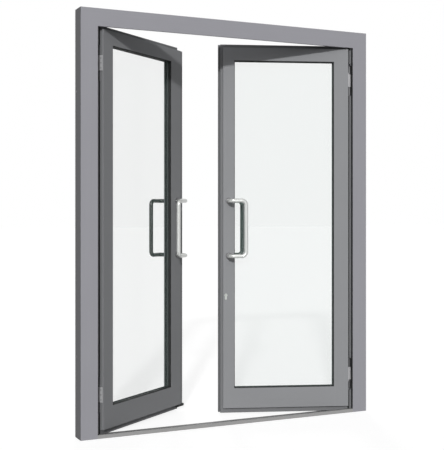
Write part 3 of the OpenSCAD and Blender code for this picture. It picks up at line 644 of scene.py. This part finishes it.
brush = bristles.nodes.new("GeometryNodeInstanceOnPoints")
bristles.links.new(b_in.outputs["Geometry"], brush.inputs["Points"])
bristles.links.new(hair.outputs["Mesh"], brush.inputs["Instance"])
bristles.links.new(lean.outputs[0], brush.inputs["Rotation"])
close_tree(bristles, brush.outputs["Instances"], b_in, b_out)
print("tree:", bristles.name, "inputs:", list(bristle_ids))

# %% Place the brushes
BRISTLE_PITCH, BRISTLE_R, BRISTLE_LEAN = 0.003, 0.0005, 0.2
ROW_INSET, ROOT_DEPTH, TIP_GAP = 0.001, 0.0008, 0.0002
for label, seed in (("left", 7), ("right", 8)):
    low, high = closed_box(label + "_bottom_seal", label + "_leaf")
    root = low.z + ROOT_DEPTH
    across = closed_points(label + "_bottom_seal", label + "_leaf")[:, X]
    ends = sorted({round(x, 4) for x in across.tolist()})
    print(label, "brush holders from and to:", ends)
    points = [(start + BRISTLE_PITCH * (i + 0.5), y, root)
              for start, stop in zip(ends[0::2], ends[1::2])
              for i in range(int((stop - start) / BRISTLE_PITCH))
              for y in (low.y + ROW_INSET, high.y - ROW_INSET)]
    plate_top = max(v.co.z for v in nodes["threshold"].data.vertices if v.co.y > low.y)
    length = root - plate_top - TIP_GAP
    print("bristles", round(length * 1000, 2), "mm long, tips just above the threshold plate")
    grow(f"{label}_brush", points, bristles, bristle_ids,
         {"Length": length, "Thickness": BRISTLE_R, "Lean": BRISTLE_LEAN, "Seed": seed,
          "Material": plastic}, label + "_leaf")

# %% [markdown]
# ## Floor and backdrop
# The photograph is a cut-out on white. A pale floor that glows almost to white keeps the cut-out look
# and still shows where the door touches the ground. Only the camera, reflections and the view through
# glass see the glow, so it lights nothing. The floor lies just under the door.

# %% Make the floor
def sees_backdrop(tree):
    """1 for camera, glossy and transmission rays, which see the white backdrop, or else 0."""
    rays = tree.nodes.new("ShaderNodeLightPath").outputs
    straight = maths(tree, "MAXIMUM", rays["Is Camera Ray"], rays["Is Transmission Ray"])
    return maths(tree, "MAXIMUM", straight, rays["Is Glossy Ray"])


FLOOR_HALF, FLOOR_DROP, FLOOR_GLOW = 60.0, 0.0015, 0.785
floor_mesh = bpy.data.meshes.new("Floor")
corners = ((-1, -1), (1, -1), (1, 1), (-1, 1))
square = [(x * FLOOR_HALF, y * FLOOR_HALF, 0) for x, y in corners]
floor_mesh.from_pydata(square, [], [(0, 1, 2, 3)])
floor = bpy.data.objects.new("Floor", floor_mesh)
floor.location.z = -FLOOR_DROP
bpy.context.scene.collection.objects.link(floor)
floor_material, floor_tree, floor_shader = principled("Pale floor")
floor_shader.inputs["Base Color"].default_value = (0.35, 0.35, 0.35, 1)
floor_tree.links.new(sees_backdrop(floor_tree), floor_shader.inputs["Emission Color"])
floor_shader.inputs["Roughness"].default_value = 1.0
floor_shader.inputs["Specular IOR Level"].default_value = 0.0
floor_shader.inputs["Emission Strength"].default_value = FLOOR_GLOW
floor_mesh.materials.append(floor_material)
print("floor:", FLOOR_HALF * 2, "m square")

# %% [markdown]
# ## Light
# In the photograph the head throws a shadow on the right leaf's top rail, and the left leaf, turned
# away, is much darker than the frame. One key light from the front left and low in the sky does
# both. The world is white to the camera, in reflections and through glass. As light on the surfaces
# it is a weak fill that grows into a soft white panel around the key, and into a second panel behind
# the door. A weak rear light from the right lets the rear be seen too. It makes no glints.

# %% Set the lights
FILL_LOW, FILL_HIGH, REAR_GLOW = 0.055, 0.9, 0.6
FRONT_START, REAR_START, PANEL_FULL = 0.45, 0.40, 0.95
REAR = Vector((0.15, 0.93, 0.34)).normalized()


def add_sun(name, azimuth_deg, height_deg, energy, angle_deg, glossy=True):
    """Sun lamp at an azimuth from the front and a height. Gives the direction toward it."""
    azimuth, height = math.radians(azimuth_deg), math.radians(height_deg)
    toward = Vector((math.sin(azimuth) * math.cos(height), -math.cos(azimuth) * math.cos(height),
                     math.sin(height)))
    lamp = bpy.data.lights.new(name, "SUN")
    lamp.energy, lamp.angle = energy, math.radians(angle_deg)
    lamp_object = bpy.data.objects.new(name, lamp)
    lamp_object.rotation_euler = toward.to_track_quat("Z", "Y").to_euler()
    lamp_object.visible_glossy = glossy
    bpy.context.scene.collection.objects.link(lamp_object)
    print(name, "from azimuth", azimuth_deg, "height", height_deg, "energy", energy)
    return toward


toward_key = add_sun("Key", -29.5, 22, 2.02, 3)
add_sun("Rear light", 160, 16, 1.2, 12, glossy=False)

world = bpy.data.worlds.new("Studio")
bpy.context.scene.world = world
world.use_nodes = True
wt = world.node_tree
wt.nodes.clear()
world_out = wt.nodes.new("ShaderNodeOutputWorld")
fill = add(wt, "ShaderNodeBackground", Color=(1, 1, 1, 1))
sky = wt.nodes.new("ShaderNodeTexCoord").outputs["Generated"]


def soft_panel(direction, start, low, high):
    """Soft glow of the sky around a direction."""
    lean_to = add(wt, "ShaderNodeVectorMath", operation="DOT_PRODUCT")
    wt.links.new(sky, lean_to.inputs[0])
    lean_to.inputs[1].default_value = direction
    glow = add(wt, "ShaderNodeMapRange", interpolation_type="SMOOTHSTEP")
    for socket, value in zip(glow.inputs[1:5], (start, PANEL_FULL, low, high)):
        socket.default_value = value
    wt.links.new(lean_to.outputs["Value"], glow.inputs[0])
    return glow.outputs[0]


front_panel = soft_panel(toward_key, FRONT_START, FILL_LOW, FILL_HIGH)
rear_panel = soft_panel(REAR, REAR_START, 0.0, REAR_GLOW)
wt.links.new(maths(wt, "MAXIMUM", front_panel, rear_panel), fill.inputs["Strength"])
white = add(wt, "ShaderNodeBackground", Color=(1, 1, 1, 1), Strength=1.0)
pick = wt.nodes.new("ShaderNodeMixShader")
wt.links.new(sees_backdrop(wt), pick.inputs[0])
wt.links.new(fill.outputs[0], pick.inputs[1])
wt.links.new(white.outputs[0], pick.inputs[2])
wt.links.new(pick.outputs[0], world_out.inputs["Surface"])
bpy.context.scene.view_settings.view_transform = "Standard"
print("world:", world.name, "fill from", FILL_LOW, "to", FILL_HIGH)

# %% [markdown]
# ## Camera
# All uprights are vertical in the photograph, so the camera was level and the picture was shifted.
# The place, the focal length and the shift come from a fit of the door's edges to the picture.

# %% Set the camera
PHOTO_W, PHOTO_H = 444, 450
FOCAL_PX, CENTRE_X, HORIZON_Y = 946.0, 217.0, 212.05
CAMERA_AT, CAMERA_TURN_DEG = (-2.162, -4.465, 1.106), -25.07
SENSOR = 36.0
camera = bpy.data.cameras.new("Photo camera")
camera.sensor_fit = "HORIZONTAL"
camera.sensor_width = SENSOR
camera.lens = FOCAL_PX * SENSOR / PHOTO_W
camera.shift_x = (PHOTO_W / 2 - CENTRE_X) / PHOTO_W
camera.shift_y = (HORIZON_Y - PHOTO_H / 2) / PHOTO_W
camera_object = bpy.data.objects.new("Photo camera", camera)
camera_object.location = CAMERA_AT
camera_object.rotation_euler = (math.radians(90), 0, math.radians(CAMERA_TURN_DEG))
bpy.context.scene.collection.objects.link(camera_object)
bpy.context.scene.camera = camera_object
print("lens", round(camera.lens, 1), "mm, shift", round(camera.shift_x, 4), round(camera.shift_y, 4))
